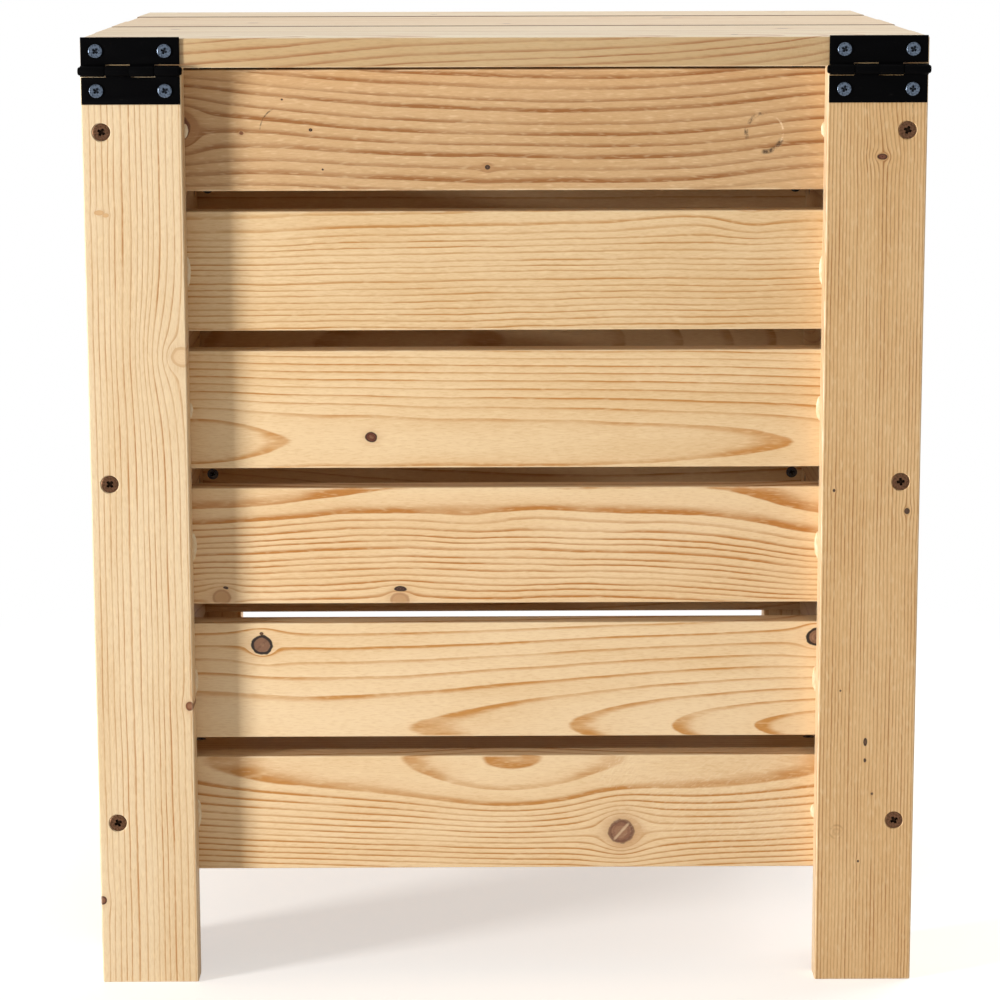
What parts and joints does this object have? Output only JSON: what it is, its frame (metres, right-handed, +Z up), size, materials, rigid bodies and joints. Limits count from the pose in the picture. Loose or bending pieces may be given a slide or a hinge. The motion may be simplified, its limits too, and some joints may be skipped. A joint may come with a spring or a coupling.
{
  "type": "slatted wooden storage box",
  "caption": "Upright slatted softwood storage box on leg boards, with open gaps between the slats, a plank lid on butt hinges and a slatted floor inside.",
  "frame": {"origin": "on the ground under the middle of the overall box, hinge knuckles included", "axes": "+Z up, -Y towards the hinge side (the rear), +X to the right when facing the hinge side"},
  "size_m": [0.4316, 0.3458, 0.5],
  "materials": {
    "slat_softwood": "satin, planed spruce",
    "leg_softwood": "satin, planed spruce",
    "lid_softwood": "satin, planed spruce",
    "inner_softwood": "raw, planed spruce",
    "hinge_black": "satin black coat",
    "screw_zinc": "bright zinc plated",
    "screw_yellow": "yellow passivated"
  },
  "bodies": {
    "box": {"cleat_screws": "screw_zinc", "corner_screws": "screw_yellow", "floor_board_1": "inner_softwood", "floor_board_2": "inner_softwood", "floor_board_3": "inner_softwood", "floor_board_4": "inner_softwood", "floor_cleat_left": "inner_softwood", "floor_cleat_right": "inner_softwood", "floor_screws": "screw_zinc", "hinge_left_leg_leaf": "hinge_black", "hinge_left_pin": "hinge_black", "hinge_right_leg_leaf": "hinge_black", "hinge_right_pin": "hinge_black", "hinge_screws_leg": "screw_zinc", "leg_front_left": "leg_softwood", "leg_front_right": "leg_softwood", "leg_rear_left": "leg_softwood", "leg_rear_right": "leg_softwood", "leg_side_front_left": "leg_softwood", "leg_side_front_right": "leg_softwood", "leg_side_rear_left": "leg_softwood", "leg_side_rear_right": "leg_softwood", "slat_front_1": "slat_softwood", "slat_front_2": "slat_softwood", "slat_front_3": "slat_softwood", "slat_front_4": "slat_softwood", "slat_front_5": "slat_softwood", "slat_front_6": "slat_softwood", "slat_left_1": "slat_softwood", "slat_left_2": "slat_softwood", "slat_left_3": "slat_softwood", "slat_left_4": "slat_softwood", "slat_left_5": "slat_softwood", "slat_left_6": "slat_softwood", "slat_rear_1": "slat_softwood", "slat_rear_2": "slat_softwood", "slat_rear_3": "slat_softwood", "slat_rear_4": "slat_softwood", "slat_rear_5": "slat_softwood", "slat_rear_6": "slat_softwood", "slat_right_1": "slat_softwood", "slat_right_2": "slat_softwood", "slat_right_3": "slat_softwood", "slat_right_4": "slat_softwood", "slat_right_5": "slat_softwood", "slat_right_6": "slat_softwood", "slat_screws_front": "screw_zinc", "slat_screws_rear": "screw_zinc", "slat_screws_sides": "screw_zinc"},
    "lid": {"batten_screws": "screw_zinc", "hinge_left_lid_leaf": "hinge_black", "hinge_right_lid_leaf": "hinge_black", "hinge_screws_lid": "screw_zinc", "lid_batten_left": "inner_softwood", "lid_batten_right": "inner_softwood", "lid_plank_1": "lid_softwood", "lid_plank_2": "lid_softwood", "lid_plank_3": "lid_softwood", "lid_plank_4": "lid_softwood", "lid_plank_5": "lid_softwood"}
  },
  "joints": [
    {"name": "lid_hinge", "type": "hinge", "parent": "box", "child": "lid", "pos_m": [0, -0.17015, 0.483], "axis": [1, 0, 0], "range_deg": [0, 180]}
  ]
}
